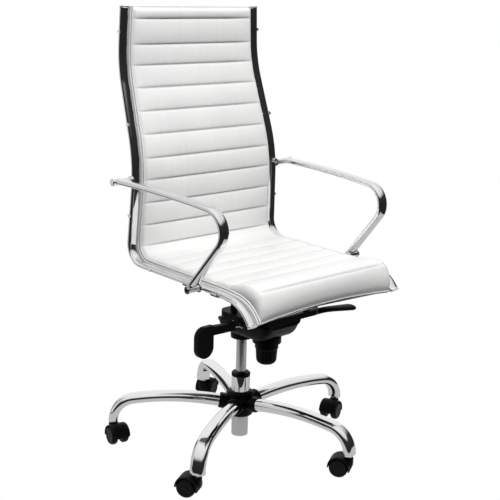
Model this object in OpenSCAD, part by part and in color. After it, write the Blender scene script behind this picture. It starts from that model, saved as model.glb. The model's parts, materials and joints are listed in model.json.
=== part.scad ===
// High-back swivel office chair: a ribbed leather sling held between two chromed side frames,
// on a tilting mechanism, a gas column and a five-leg base with twin-wheel casters.
// Origin on the floor under the column. +Z is up, the front faces -Y, +X is the sitter's left.

/* [Side frames] */
// Half distance between the two frame tubes, measured at the seat rail
frame_half = 249; // [235:1:260]
// Height of the seat rail's middle line over the floor
rail_z = 516; // [508:1:524]
// Lean of each side frame towards the middle of the chair, in degrees
frame_lean = 2.58; // [2:0.01:3]
// Wide axis of the flat-oval frame tube
frame_tube_w = 28; // [24:1:30]
// Thin axis of the flat-oval frame tube
frame_tube_t = 14; // [12:1:15]
// Length of the straight end of the frame at the headrest
head_straight = 90; // [60:1:110]

/* [Sling] */
// Thickness of the padded sling
sling_t = 25; // [22:1:26]
// How far the sling's middle surface stands in front of the frame line
sling_proud = 6.5; // [6:0.5:8]

/* [Arms] */
// Wide axis of the flat-oval arm tube
arm_tube_w = 30; // [26:1:32]
// Thin axis of the flat-oval arm tube
arm_tube_t = 15; // [13:1:16]
// Distance from the middle of the chair to the arm tube, at the column
arm_half = 288; // [286:1:292]
// Toe-in of the arms towards the front, in degrees
arm_toe = 2.86; // [2:0.01:3.2]
// Diameter of the cross pegs that carry the arms
peg_d = 16; // [14:1:17]

/* [Column] */
// Diameter of the gas cylinder
cylinder_d = 28; // [27.5:0.1:28.5]
// Diameter of the outer column tube
column_d = 50; // [49:0.5:51]
// Length of gas cylinder showing between the bush and the mechanism
cylinder_shown = 98; // [90:1:104]

/* [Base] */
// Distance from the column to each caster stem
leg_reach = 345; // [340:1:350]
// Turn of the whole base about the column, in degrees
base_turn = -5.5; // [-30:0.5:30]
// Wide axis of the flat-oval leg tube
leg_tube_w = 38; // [36:1:40]
// Thin axis of the flat-oval leg tube
leg_tube_t = 27; // [25:1:28]

/* [Casters] */
// Diameter of a caster wheel
wheel_d = 50; // [48:1:50]
// Width of a caster wheel
wheel_w = 19; // [17:1:20]
// Distance from the swivel axis back to the wheel axle
trail = 24; // [22:1:26]
// Direction in which each caster trails at rest, one per leg, in degrees
caster_trail_to = [-160, 20, -100, 120, 120]; // [-180:1:180]

/* [Hidden] */
$fn = 48;

chrome = "silver";
steel = "lightslategray";
black = [0.08, 0.08, 0.09];
leather = [0.95, 0.95, 0.93];
brass = [0.72, 0.6, 0.35];

big = 2000;             // size of the cutting blocks
fit = 0.05;             // radial room of a sliding or turning fit
wall = 2;               // wall of every tube
oval_facets = 7;        // flats round each end of a flat-oval tube
bend_facet = 7.5;       // largest turn between neighbouring stations of a bend

// Side frame outline, from the cut end at the front of the seat to the top of the headrest.
// Each step is [length, 0] for a straight or [radius, turn] for a bend; left turns are positive.
frame_start = [-308, -56];      // front end: along the chair, and over the rail
frame_heading = 50;
corner_r = 52;
frame_steps = [[18, 0], [95, -42], [600, -6.8], [274, 0], [corner_r, 91.7], [127, 0],
    [400, -20.4], [135, 0], [330, 18], [head_straight, 0]];
frame_screw_at = [[-200, -5.4], [62, 1.3], [156, 124], [176, 354], [225, 584]];

// Arm outline, from the rear peg forwards, round the grip and back down to the front peg.
rear_peg = [151.5, 733];
front_peg = [-130, 515];
arm_back = [-149.5, 735];
arm_steps = [[3200, -6], [51, -123.5], [146, 0]];

// Column stack, bottom to top
column_foot = 25;
column_floor_t = 6;
hub_bottom = 84;
hub_top = 150;
column_top = 195;
bush_flange = 10;
socket_bottom = column_top + bush_flange + cylinder_shown;
socket_top = socket_bottom + 57;
cylinder_bottom = 128;
cylinder_tip_d = cylinder_d - 2;
column_foot_d = column_d - 5;
rod_d = 10;
piston_z = 232;
button_d = 8;
button_rise = 4;

// Leg outline, from the hub outwards
leg_root = [32, 117.5];
leg_rise = 9;
leg_long_r = 750;
leg_fall = 8.75;
leg_straight = 28;
leg_tip_straight = 0.5;
leg_long_end = leg_root[0] + leg_straight * cos(leg_rise)
    + leg_long_r * (sin(leg_rise) + sin(leg_fall));
leg_tip_r = (leg_reach - leg_long_end) / (1 - sin(leg_fall));
leg_tip_z = leg_root[1] + leg_straight * sin(leg_rise)
    + leg_long_r * (cos(leg_fall) - cos(leg_rise)) - leg_tip_r * cos(leg_fall) - leg_tip_straight;
leg_steps = [[leg_straight, 0], [leg_long_r, -leg_rise - leg_fall],
    [leg_tip_r, leg_fall - 90], [leg_tip_straight, 0]];

// Mechanism
pivot = [-48, 384];             // tilt axis: along the chair, and over the floor
pivot_d = 12;
plate_top = 408;
plate_t = 4;
plate_lip = 15;
plate_half = 112;
plate_y = [-187, -25];
hanger_x = 66;
hanger_t = 4;
housing_half = 62;
housing_wall = 4;
housing_floor = 330;
knob_y = -97;
knob_d = 62;
knob_bottom = 256;
knob_top = 313;
knob_seat = 270;                // inner floor of the knob cup, under the spring
skirt_d = 76;
spring_d = 40;
spring_wire = 5.5;
spring_turns = 6;
bolt_d = 10;
bolt_head_d = 20;
bolt_head_z = plate_top + 0.3;
bar_w = 36;
bar_t = 10;
stretcher_y = [-160, -55];
post_d = 18;
bolt_x = 80;

// Levers
fulcrum = [-60, -60, 368.3];
height_rod_d = 8;
height_rod_points = [[5, 0, 368.3], [-28, -22, 368.3], fulcrum, [-86, -94, 372],
    [-102, -100, 380],
    [-150, -100, 384]];
height_arm = [[-120, 382], [-222, 389]];    // middle line of the handle's arm
height_paddle_x = [-246, -193];
height_paddle_z = [319, 400];
height_handle_y = -100;
tilt_axis = [-140, 381];
tilt_rod_d = 9;
tilt_paddle = [[124, -140, 381], [158, -150, 386], [240, -166, 381]];

// Casters
axle_z = wheel_d / 2;
axle_d = 6;
wheel_gap = 13;                 // room between the two wheels of a caster
stem_d = 11;
stem_top = leg_tip_z + 16;
hood_top = 54;
hood_half = 25.5;
hood_r = wheel_d / 2 + 5;
hood_bore_r = wheel_d / 2 + 1.8;
hood_foot = 17;

function leg_angle(i) = base_turn + 72 * (i - 1);

// ---- helpers ----

module oval(w, t) {
    square([t, w - t], center = true);
    for (side = [-1, 1])
        translate([0, side * (w - t) / 2])
            circle(d = t);
}

// Corner points of a flat oval whose first axis is the thin one.
function oval_points(w, t, n = oval_facets) = [for (k = [0 : 2 * n + 1])
    let (half = k <= n ? 0 : 1, a = 180 * (k - half) / n)
    [t / 2 * cos(a), (2 * half - 1) * (w - t) / 2 - t / 2 * sin(a)]];

// Where a path arrives after one straight or part of one bend: [along, up, heading].
function moved(at, size, turn) = turn == 0
    ? [at[0] + size * cos(at[2]), at[1] + size * sin(at[2]), at[2]]
    : [at[0] + sign(turn) * size * (sin(at[2] + turn) - sin(at[2])),
        at[1] - sign(turn) * size * (cos(at[2] + turn) - cos(at[2])), at[2] + turn];

// Every station of a path made of [length, 0] straights and [radius, turn] bends.
function stations(at, steps, i = 0) = i == len(steps) ? [at]
    : let (size = steps[i][0], turn = steps[i][1], n = max(1, ceil(abs(turn) / bend_facet)))
        concat([at], [for (k = [1 : 1 : n - 1]) moved(at, size, turn * k / n)],
            stations(moved(at, size, turn), steps, i + 1));

// Ring of space points: a section set square to the path, its first axis to the path's left.
function ring_at(at, section) = [for (p = section)
    [at[0] - p[0] * sin(at[2]), at[1] + p[0] * cos(at[2]), p[1]]];

// Faces between neighbouring rings of n points, from ring a onwards, stepping by step points.
function skin(n, rings, first, step, flip) = [for (i = [0 : rings - 2], k = [0 : n - 1])
    let (m = (k + 1) % n, a = first + i * step, b = a + step)
    flip ? [a + k, b + k, b + m, a + m] : [a + m, b + m, b + k, a + k]];

// A bent tube, open at both ends, swept in the XY plane.
module bent_tube(path, outer, inner) {
    n = len(outer);
    count = len(path);
    last = (count - 1) * 2 * n;
    polyhedron(
        [for (at = path) each concat(ring_at(at, outer), ring_at(at, inner))],
        concat(skin(n, count, 0, 2 * n, false), skin(n, count, n, 2 * n, true),
            [for (k = [0 : n - 1]) let (m = (k + 1) % n) [k, n + k, n + m, m]],
            [for (k = [0 : n - 1]) let (m = (k + 1) % n)
                [last + m, last + n + m, last + n + k, last + k]]),
        convexity = 12);
}

// The same bend as a solid bar, grown all round, for cutting sockets.
module bent_bar(path, section) {
    closed_skin([for (at = path) each ring_at(at, section)], len(section), len(path));
}

// A closed skin over count rings of n points each.
module closed_skin(points, n, count) {
    polyhedron(points,
        concat(skin(n, count, 0, n, false), [[for (k = [n - 1 : -1 : 0]) k]],
            [[for (k = [0 : n - 1]) (count - 1) * n + k]]), convexity = 12);
}

// Mirrors its children to the sitter's right for side = -1.
module to_side(side) {
    mirror([side < 0 ? 1 : 0, 0, 0])
        children();
}

// Places children in the leaning plane of one side frame, with the rail line at z = 0.
module at_frame(side) {
    to_side(side)
        translate([frame_half, 0, rail_z])
            rotate([0, -frame_lean, 0])
                children();
}

frame_path = stations([frame_start[0], frame_start[1], frame_heading], frame_steps);

// A round bar along X, from x0 to x1.
module bar_x(x0, x1, d) {
    translate([x0, 0, 0])
        rotate([0, 90, 0])
            cylinder(h = x1 - x0, d = d);
}

// A bent round rod through a list of points.
module bent_rod(points, d) {
    for (i = [0 : len(points) - 2]) {
        step = points[i + 1] - points[i];
        translate(points[i])
            rotate([0, acos(step[2] / norm(step)), atan2(step[1], step[0])])
                cylinder(h = norm(step), d = d);
    }
    for (i = [1 : 1 : len(points) - 2])
        translate(points[i])
            sphere(d = d + 0.3);
}

module rounded_plate(x0, x1, y0, y1, r, h) {
    linear_extrude(h) {
        translate([x0 + r, y0])
            square([x1 - x0 - 2 * r, y1 - y0]);
        translate([x0, y0 + r])
            square([x1 - x0, y1 - y0 - 2 * r]);
        for (x = [x0 + r, x1 - r], y = [y0 + r, y1 - r])
            translate([x, y])
                circle(r = r);
    }
}

// ---- base ----

module at_leg(i) {
    rotate([0, 0, leg_angle(i)])
        children();
}

leg_path = stations([leg_root[0], leg_root[1], leg_rise], leg_steps);
hub_end_path = [leg_path[0], leg_path[1], leg_path[2]];

module leg(i) {
    color(chrome)
        at_leg(i)
            rotate([90, 0, 0])
                bent_tube(leg_path, oval_points(leg_tube_w, leg_tube_t),
                    oval_points(leg_tube_w - 2 * wall, leg_tube_t - 2 * wall));
}

module caster_sockets() {
    color(black)
        for (i = [1 : 5])
            at_leg(i)
                translate([leg_reach, 0, leg_tip_z])
                    difference() {
                        union() {
                            linear_extrude(6)
                                oval(leg_tube_w - 2 * wall - 1.6, leg_tube_t - 2 * wall - 1.6);
                            cylinder(h = 14, d = 16);
                        }
                        translate([0, 0, -1])
                            cylinder(h = 20, d = stem_d + 2 * fit);
                    }
}

module hub() {
    color(black)
        difference() {
            union() {
                translate([0, 0, hub_bottom])
                    cylinder(h = hub_top - hub_bottom, d = 72);
                translate([0, 0, hub_top])
                    cylinder(h = 3, d1 = 66, d2 = 60);
                for (i = [1 : 5])
                    at_leg(i)
                        rotate([90, 0, 0])
                            translate([leg_root[0] - 6, leg_root[1] - 1, 0])
                                rotate([90, 0, 90 + leg_rise])
                                    linear_extrude(32)
                                        oval(leg_tube_w + 9, leg_tube_t + 9);
            }
            for (i = [1 : 5])
                at_leg(i)
                    rotate([90, 0, 0])
                        bent_bar(hub_end_path,
                            oval_points(leg_tube_w + 2 * fit, leg_tube_t + 2 * fit));
            column_body(fit);
        }
}

// Outer shape of the column tube, grown by a little for its socket.
module column_body(grow = 0) {
    translate([0, 0, hub_top])
        cylinder(h = column_top - hub_top, d = column_d + 2 * grow);
    translate([0, 0, hub_bottom])
        cylinder(h = hub_top - hub_bottom, d1 = column_foot_d + 2 * grow, d2 = column_d + 2 * grow);
    translate([0, 0, column_foot])
        cylinder(h = hub_bottom - column_foot, d = column_foot_d + 2 * grow);
}

module outer_column() {
    color(chrome)
        difference() {
            column_body();
            translate([0, 0, column_foot + column_floor_t])
                cylinder(h = big, d = column_foot_d - 4);
            translate([0, 0, column_foot - 1])
                cylinder(h = 20, d = rod_d - 2 + 2 * fit);
        }
}

module column_bush() {
    color(black)
        difference() {
            union() {
                translate([0, 0, column_top])
                    cylinder(h = bush_flange - 3, d = column_d + 1);
                translate([0, 0, column_top + bush_flange - 3])
                    cylinder(h = 3, d1 = column_d + 1, d2 = column_d - 5);
                translate([0, 0, column_top - 60])
                    cylinder(h = 60, d = column_foot_d - 4 - 2 * fit);
            }
            translate([0, 0, column_top - 61])
                cylinder(h = 80, d = cylinder_d + 2 * fit);
        }
}

module retaining_clip() {
    color(steel)
        translate([0, 0, column_foot - 2])
            difference() {
                cylinder(h = 1.5, d = 20);
                translate([0, 0, -1])
                    cylinder(h = 4, d = 6 + 2 * fit);
                translate([3, -1.5, -1])
                    cube([10, 3, 4]);
            }
}

// ---- gas lift ----

module piston_rod() {
    shoulder_z = column_foot + column_floor_t + 5.1;
    color(steel)
        difference() {
            union() {
                translate([0, 0, column_foot - 5])
                    cylinder(h = 20, d = rod_d - 2);
                translate([0, 0, column_foot + 6])
                    cylinder(h = piston_z - column_foot - 6, d = rod_d);
                translate([0, 0, shoulder_z])
                    cylinder(h = 3, d = 16);
                translate([0, 0, piston_z])
                    cylinder(h = 12, d = cylinder_d - 4 - 2 * fit);
            }
            translate([0, 0, column_foot - 2.1])
                difference() {
                    cylinder(h = 1.7, d = 12);
                    translate([0, 0, -1])
                        cylinder(h = 4, d = 6);
                }
        }
}

module thrust_bearing() {
    color(steel)
        translate([0, 0, column_foot + column_floor_t + 0.05])
            difference() {
                cylinder(h = 5, d = 24);
                translate([0, 0, -1])
                    cylinder(h = 8, d = rod_d + 2 * fit);
            }
}

module rubber_buffer() {
    color(black)
        translate([0, 0, column_foot + column_floor_t + 8.2])
            difference() {
                cylinder(h = 12, d = 24);
                translate([0, 0, -1])
                    cylinder(h = 16, d = rod_d + 2 * fit);
            }
}

module gas_cylinder() {
    color("darkgray")
        difference() {
            union() {
                translate([0, 0, cylinder_bottom])
                    cylinder(h = socket_bottom - cylinder_bottom, d = cylinder_d);
                translate([0, 0, socket_bottom])
                    cylinder(h = socket_top - socket_bottom, d1 = cylinder_d, d2 = cylinder_tip_d);
            }
            translate([0, 0, cylinder_bottom + 8])
                cylinder(h = socket_top - cylinder_bottom - 28, d = cylinder_d - 4);
            translate([0, 0, cylinder_bottom - 1])
                cylinder(h = 12, d = rod_d + 2 * fit);
            translate([0, 0, socket_top - 18])
                cylinder(h = 20, d = button_d + 2 * fit);
        }
}

module release_button() {
    color(steel)
        translate([0, 0, socket_top + button_rise - 14])
            cylinder(h = 14, d = button_d);
}

// ---- mechanism ----

module housing_outline() {
    polygon([[-166, 386], [-164, 372], [-142, 352], [-134, housing_floor], [24, housing_floor],
        [37, 342], [37, 362], [-20, 376], [-60, 386]]);
}

module mechanism_housing() {
    color(black)
        difference() {
            union() {
                intersection() {
                    translate([-housing_half, 0, 0])
                        rotate([90, 0, 90])
                            linear_extrude(2 * housing_half)
                                housing_outline();
                    translate([0, 100, 0])
                        rotate([90, 0, 0])
                            linear_extrude(300)
                                polygon([[-62, 400], [-62, 352], [-48, 320], [48, 320],
                                    [62, 352], [62, 400]]);
                }
                translate([0, 0, socket_bottom])
                    cylinder(h = housing_floor - socket_bottom + 1, d = 62);
                translate([0, knob_y, knob_top + 2])
                    cylinder(h = housing_floor - knob_top, d = skirt_d);
            }
            difference() {
                intersection() {
                    translate([-housing_half + housing_wall, 0, 0])
                        rotate([90, 0, 90])
                            linear_extrude(2 * (housing_half - housing_wall))
                                polygon([[-160, 400], [-160, 374], [-138, 354],
                                    [-129, housing_floor + 5], [22, housing_floor + 5],
                                    [33, 344], [33, 400]]);
                    translate([0, 100, 0])
                        rotate([90, 0, 0])
                            linear_extrude(300)
                                polygon([[-58, 410], [-58, 353], [-46, 324], [46, 324],
                                    [58, 353], [58, 410]]);
                }
                translate([0, 0, housing_floor])
                    cylinder(h = socket_top - housing_floor - 2, d = 42);
            }
            translate([0, 0, socket_bottom - 0.01])
                cylinder(h = socket_top - socket_bottom + 0.02, d1 = cylinder_d + 2 * fit,
                    d2 = cylinder_tip_d + 2 * fit);
            translate([0, knob_y, knob_top])
                cylinder(h = housing_floor - knob_top, d = knob_d + 5);
            translate([0, knob_y, housing_floor - 20])
                cylinder(h = 40, d = bolt_d + 1);
            translate([0, pivot[0], pivot[1]])
                bar_x(-80, 80, pivot_d + 2 * fit);
            translate([0, tilt_axis[0], tilt_axis[1]])
                bar_x(20, 80, tilt_rod_d + 2 * fit);
            translate([-housing_half - 10, fulcrum[1] - 22, fulcrum[2] - 9])
                cube([30, 36, 18]);
        }
}

module pivot_pin() {
    half = hanger_x + hanger_t + 4;
    color(steel)
        translate([0, pivot[0], pivot[1]]) {
            bar_x(-half, half, pivot_d);
            for (side = [-1, 1])
                to_side(side)
                    bar_x(half, half + 3, 18);
        }
}

module pivot_bushes() {
    color(black)
        translate([0, pivot[0], pivot[1]])
            for (side = [-1, 1])
                to_side(side)
                    difference() {
                        union() {
                            bar_x(hanger_x, hanger_x + hanger_t, 16 - 2 * fit);
                            bar_x(hanger_x + hanger_t, hanger_x + hanger_t + 2, 21);
                        }
                        bar_x(hanger_x - 1, hanger_x + 12, pivot_d + 2 * fit);
                    }
}

module seat_plate() {
    color(black)
        difference() {
            union() {
                difference() {
                    translate([0, 0, plate_top - plate_lip])
                        rounded_plate(-plate_half, plate_half, plate_y[0], plate_y[1], 28, plate_lip);
                    translate([0, 0, plate_top - plate_lip - 1])
                        rounded_plate(-plate_half + plate_t, plate_half - plate_t,
                            plate_y[0] + plate_t, plate_y[1] - plate_t, 24, plate_lip + 1 - plate_t);
                }
                for (side = [-1, 1])
                    to_side(side) {
                        translate([hanger_x, pivot[0] - 17, pivot[1]])
                            cube([hanger_t, 34, plate_top - plate_t - pivot[1] + 1]);
                        translate([0, pivot[0], pivot[1]])
                            bar_x(hanger_x, hanger_x + hanger_t, 34);
                    }
            }
            translate([0, pivot[0], pivot[1]])
                bar_x(-80, 80, 16);
            for (x = [-bolt_x, bolt_x], y = stretcher_y)
                translate([x, y, plate_top - 10])
                    cylinder(h = 20, d = 8.4);
            translate([-6.5, knob_y - 15, plate_top - 10])
                cube([13, 23, 20]);
        }
}

module tension_bolt() {
    color(steel)
        translate([0, knob_y, 0]) {
            translate([0, 0, knob_bottom + 8])
                cylinder(h = bolt_head_z - knob_bottom - 7, d = bolt_d);
            translate([0, 0, bolt_head_z])
                cylinder(h = 7, d = bolt_head_d);
        }
}

module tension_knob() {
    color(black)
        translate([0, knob_y, 0])
            difference() {
                rotate_extrude()
                    difference() {
                        union() {
                            translate([0, knob_bottom])
                                square([knob_d / 2 - 14, 20]);
                            translate([0, knob_bottom + 12])
                                square([knob_d / 2 - 2, knob_top - knob_bottom - 12]);
                            translate([knob_d / 2 - 14, knob_bottom + 12])
                                circle(r = 12);
                            translate([0, knob_top - 14])
                                square([knob_d / 2, 14]);
                        }
                        translate([-big, -big])
                            square([big, 2 * big]);
                    }
                translate([0, 0, knob_seat])
                    cylinder(h = 100, d = knob_d - 12);
                translate([0, 0, knob_bottom + 7])
                    cylinder(h = 100, d = bolt_d + 2 * fit);
                for (i = [0 : 11])
                    rotate([0, 0, 30 * i])
                        translate([knob_d / 2, 0, knob_bottom - 1])
                            cylinder(h = knob_top - knob_bottom - 16, d = 6);
            }
}

// A closed coil spring, swept as one skin of rings round a helix.
module coil(d, wire, turns, z0, z1) {
    per_turn = 16;
    sides = 8;
    count = turns * per_turn;
    ring = [for (i = [0 : count], k = [0 : sides - 1])
        let (a = 360 * i / per_turn, b = 360 * k / sides,
            r = (d - wire) / 2 + wire / 2 * cos(b))
        [r * cos(a), r * sin(a),
            z0 + wire / 2 + (z1 - z0 - wire) * i / count + wire / 2 * sin(b)]];
    skin = [for (i = [0 : count - 1], k = [0 : sides - 1])
        let (n = (k + 1) % sides)
        [i * sides + k, (i + 1) * sides + k, (i + 1) * sides + n, i * sides + n]];
    ends = [[for (k = [0 : sides - 1]) k],
        [for (k = [sides - 1 : -1 : 0]) count * sides + k]];
    polyhedron(ring, concat(skin, ends), convexity = 20);
}

module tension_spring() {
    color(steel)
        translate([0, knob_y, 0])
            coil(spring_d, spring_wire, spring_turns, knob_seat + 0.3, housing_floor - 0.3);
}

module height_lever_rod() {
    color(steel)
        bent_rod(height_rod_points, height_rod_d);
}

module height_lever_handle() {
    paddle_w = height_paddle_x[1] - height_paddle_x[0];
    mid_x = (height_paddle_x[0] + height_paddle_x[1]) / 2;
    color(black)
        difference() {
            translate([0, height_handle_y + 7, 0])
                rotate([90, 0, 0])
                    linear_extrude(14) {
                        polygon([[height_arm[0][0], height_arm[0][1] - 9],
                            [height_arm[0][0], height_arm[0][1] + 10],
                            [height_arm[1][0], height_arm[1][1] + 11],
                            [height_arm[1][0], height_arm[1][1] - 14]]);
                        translate([mid_x, height_paddle_z[0] + paddle_w / 2])
                            circle(d = paddle_w);
                        translate([height_paddle_x[0], height_paddle_z[0] + paddle_w / 2])
                            square([paddle_w, 28]);
                        translate([mid_x, height_paddle_z[1] - paddle_w / 2])
                            circle(d = paddle_w);
                        translate([mid_x, height_paddle_z[1] - paddle_w / 2])
                            square([paddle_w / 2, paddle_w / 2]);
                    }
            bent_rod([height_rod_points[4], height_rod_points[5]], height_rod_d + 2 * fit);
        }
}

module tilt_lever_rod() {
    color(steel)
        translate([0, tilt_axis[0], tilt_axis[1]]) {
            bar_x(30, 150, tilt_rod_d);
            bar_x(40, 50, 20);
        }
}

module tilt_lever_handle() {
    color(black)
        difference() {
            union() {
                hull() {
                    translate(tilt_paddle[0])
                        rotate([0, 90, 0])
                            cylinder(h = 4, d = 17, $fn = 32);
                    translate(tilt_paddle[1])
                        scale([1, 1.2, 0.6])
                            sphere(d = 22, $fn = 32);
                }
                hull() {
                    translate(tilt_paddle[1])
                        scale([1, 1.2, 0.6])
                            sphere(d = 22, $fn = 32);
                    translate(tilt_paddle[2])
                        scale([1, 1.35, 0.55])
                            sphere(d = 29, $fn = 32);
                }
            }
            translate([0, tilt_axis[0], tilt_axis[1]])
                bar_x(100, 150, tilt_rod_d + 2 * fit);
        }
}

// ---- seat ----

// Top of a cross bar: just under the rails where it crosses them, measured from the rail line.
function bar_top(y) = -11.2 + (y + 166) * tan(1.2);

// Flat cross bar under both rails, with two posts down to the seat plate.
module stretcher(y) {
    top = rail_z + bar_top(y);
    color(black)
        difference() {
            union() {
                translate([10 - frame_half, y, top - bar_t / 2])
                    rotate([90, 0, 90])
                        linear_extrude(2 * (frame_half - 10))
                            rotate([0, 0, 90])
                                oval(bar_w, bar_t);
                for (x = [-bolt_x, bolt_x])
                    translate([x, y, plate_top])
                        cylinder(h = top - bar_t / 2 - plate_top, d = post_d);
            }
            for (x = [-bolt_x, bolt_x])
                translate([x, y, plate_top - 1])
                    cylinder(h = 22, d = 8 + 2 * fit);
        }
}

module plate_bolts() {
    color(steel)
        for (x = [-bolt_x, bolt_x], y = stretcher_y)
            translate([x, y, plate_top - plate_t]) {
                cylinder(h = 20, d = 8);
                translate([0, 0, -6])
                    cylinder(h = 6, d = 15, $fn = 6);
            }
}

module side_frame(side) {
    color(chrome)
        difference() {
            at_frame(side)
                rotate([90, 0, 90])
                    bent_tube(frame_path, oval_points(frame_tube_w, frame_tube_t),
                        oval_points(frame_tube_w - 2 * wall, frame_tube_t - 2 * wall));
            at_frame(side)
                for (p = frame_screw_at)
                    translate([0, p[0], p[1]])
                        bar_x(-20, 20, 4.2, $fn = 16);
            for (p = [rear_peg, front_peg])
                to_side(side)
                    translate([0, p[0], p[1]])
                        bar_x(frame_half - 40, frame_half + 40, 8 + 2 * fit, $fn = 24);
        }
}

module frame_plugs() {
    color(chrome)
        for (side = [-1, 1])
            at_frame(side)
                rotate([90, 0, 90]) {
                    path_end(frame_path[0])
                        frame_plug();
                    path_end(frame_path[len(frame_path) - 1])
                        rotate([0, 180, 0])
                            frame_plug();
                }
}

// Sets its children at one station of a path, looking along it.
module path_end(at) {
    translate([at[0], at[1], 0])
        rotate([0, 0, at[2]])
            children();
}

// Closed cap at the start of a tube that runs along +X.
module frame_plug() {
    rotate([90, 0, 90]) {
        translate([0, 0, -2])
            linear_extrude(2)
                oval(frame_tube_w, frame_tube_t);
        linear_extrude(10)
            oval(frame_tube_w - 2 * wall - 0.6, frame_tube_t - 2 * wall - 0.6);
    }
}

module frame_screws() {
    color(chrome)
        for (side = [-1, 1])
            at_frame(side)
                for (p = frame_screw_at)
                    translate([0, p[0], p[1]]) {
                        bar_x(-13.5, frame_tube_w / 2 + 1, 4);
                        bar_x(frame_tube_w / 2, frame_tube_w / 2 + 2.5, 9);
                    }
}

// One padded sling from the hem under the front roll to the top of the back. Its sides lean in
// with the two frames, a little clear of their tubes.
function sling_ring(at) =
    let (gap = frame_tube_w / 2 + 1, r = 5,
        front = sling_proud + sling_t / 2, back = sling_proud - sling_t / 2)
    [for (p = [[back, 1, r], [back + r, 1, 0], [front - r, 1, 0], [front, 1, r],
        [front, -1, r], [front - r, -1, 0], [back + r, -1, 0], [back, -1, r]])
        let (y = at[0] - p[0] * sin(at[2]), z = at[1] + p[0] * cos(at[2]),
            half = frame_half - gap - z * sin(frame_lean) - p[2])
        [p[1] * half, y, rail_z + z]];

module sling() {
    color(leather)
        closed_skin([for (at = frame_path) each sling_ring(at)], 8, len(frame_path));
}

module arm_place(side) {
    to_side(side)
        translate([arm_half, 0, 0])
            rotate([0, 0, -arm_toe])
                children();
}

module arm(side) {
    path = stations([arm_back[0], arm_back[1], 0], arm_steps);
    color(chrome)
        difference() {
            arm_place(side)
                rotate([90, 0, -90])
                    bent_tube(path, oval_points(arm_tube_w, arm_tube_t),
                        oval_points(arm_tube_w - 2 * wall, arm_tube_t - 2 * wall));
            for (p = [rear_peg, front_peg])
                to_side(side)
                    translate([0, p[0], p[1]])
                        bar_x(frame_half, frame_half + 100, peg_d + 2 * fit);
        }
}

// Where a peg meets the frame tube's outer side, where it ends, and how wide its collar is.
function peg_start(p) = frame_half - (p[1] - rail_z) * tan(frame_lean) + frame_tube_w / 2 + 0.3;
function peg_end(p) = p[0] > 0 ? 311 : 298;
function peg_collar(p) = p[0] > 0 ? 5 : 2;

module arm_pegs() {
    color(chrome)
        for (side = [-1, 1])
            for (p = [rear_peg, front_peg])
                to_side(side)
                    translate([0, p[0], p[1]]) {
                        bar_x(peg_start(p) - 16, peg_end(p) - 10, 8);
                        bar_x(peg_start(p), peg_end(p), peg_d);
                        bar_x(peg_start(p), peg_start(p) + peg_collar(p), 22);
                    }
}

module arm_caps() {
    color(chrome)
        for (side = [-1, 1], p = [rear_peg, front_peg])
            to_side(side)
                translate([0, p[0], p[1]]) {
                    bar_x(peg_end(p), peg_end(p) + 3, 19);
                    bar_x(peg_end(p) + 3, peg_end(p) + 4.5, 14);
                }
}

// ---- casters ----

module at_caster(i) {
    rotate([0, 0, leg_angle(i)])
        translate([leg_reach, 0, 0])
            rotate([0, 0, caster_trail_to[i - 1] - leg_angle(i)])
                children();
}

module caster_pins(i) {
    at_caster(i) {
        color(brass)
            translate([0, 0, hood_top])
                cylinder(h = leg_tip_z - hood_top - 0.3, d = 19);
        color(steel)
            translate([0, 0, 38])
                cylinder(h = stem_top - 38, d = stem_d);
        color(steel)
            translate([trail, 23, axle_z])
                rotate([90, 0, 0])
                    cylinder(h = 46, d = axle_d);
    }
}

module caster_hood(i) {
    color(black)
        at_caster(i)
            difference() {
                translate([0, hood_half, 0])
                    rotate([90, 0, 0])
                        linear_extrude(2 * hood_half)
                            difference() {
                                union() {
                                    translate([trail, axle_z])
                                        circle(r = hood_r);
                                    translate([-11, hood_foot])
                                        square([22, hood_top - hood_foot - 4]);
                                    translate([-7, hood_top - 8])
                                        square([22, 8]);
                                    translate([-7, hood_top - 4])
                                        circle(r = 4);
                                }
                                translate([-50, hood_foot - 60])
                                    square([150, 60]);
                            }
                for (side = [-1, 1])
                    translate([trail, side * (hood_half / 2 + wheel_gap / 4 + 0.3), axle_z])
                        rotate([90, 0, 0])
                            cylinder(h = hood_half - wheel_gap / 2 + 1.2, r = hood_bore_r, center = true);
                translate([0, 0, 37.9])
                    cylinder(h = 40, d = stem_d);
                translate([trail, 40, axle_z])
                    rotate([90, 0, 0])
                        cylinder(h = 80, d = axle_d + 2 * fit);
            }
}

module caster_wheel(i, side) {
    edge = 4;
    color([0.05, 0.05, 0.05])
        at_caster(i)
            translate([trail, side * wheel_gap / 2, axle_z])
                rotate([-90 * side, 0, 0])
                    difference() {
                        rotate_extrude() {
                            square([wheel_d / 2 - edge, wheel_w]);
                            translate([0, edge])
                                square([wheel_d / 2, wheel_w - 2 * edge]);
                            for (z = [edge, wheel_w - edge])
                                translate([wheel_d / 2 - edge, z])
                                    circle(r = edge);
                        }
                        translate([0, 0, -1])
                            cylinder(h = wheel_w - 1.4, d = axle_d + 2 * fit);
                        translate([0, 0, wheel_w - 1])
                            difference() {
                                cylinder(h = 2, d = wheel_d - 14);
                                translate([0, 0, -1])
                                    cylinder(h = 4, d = 12);
                            }
                    }
}

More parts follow.
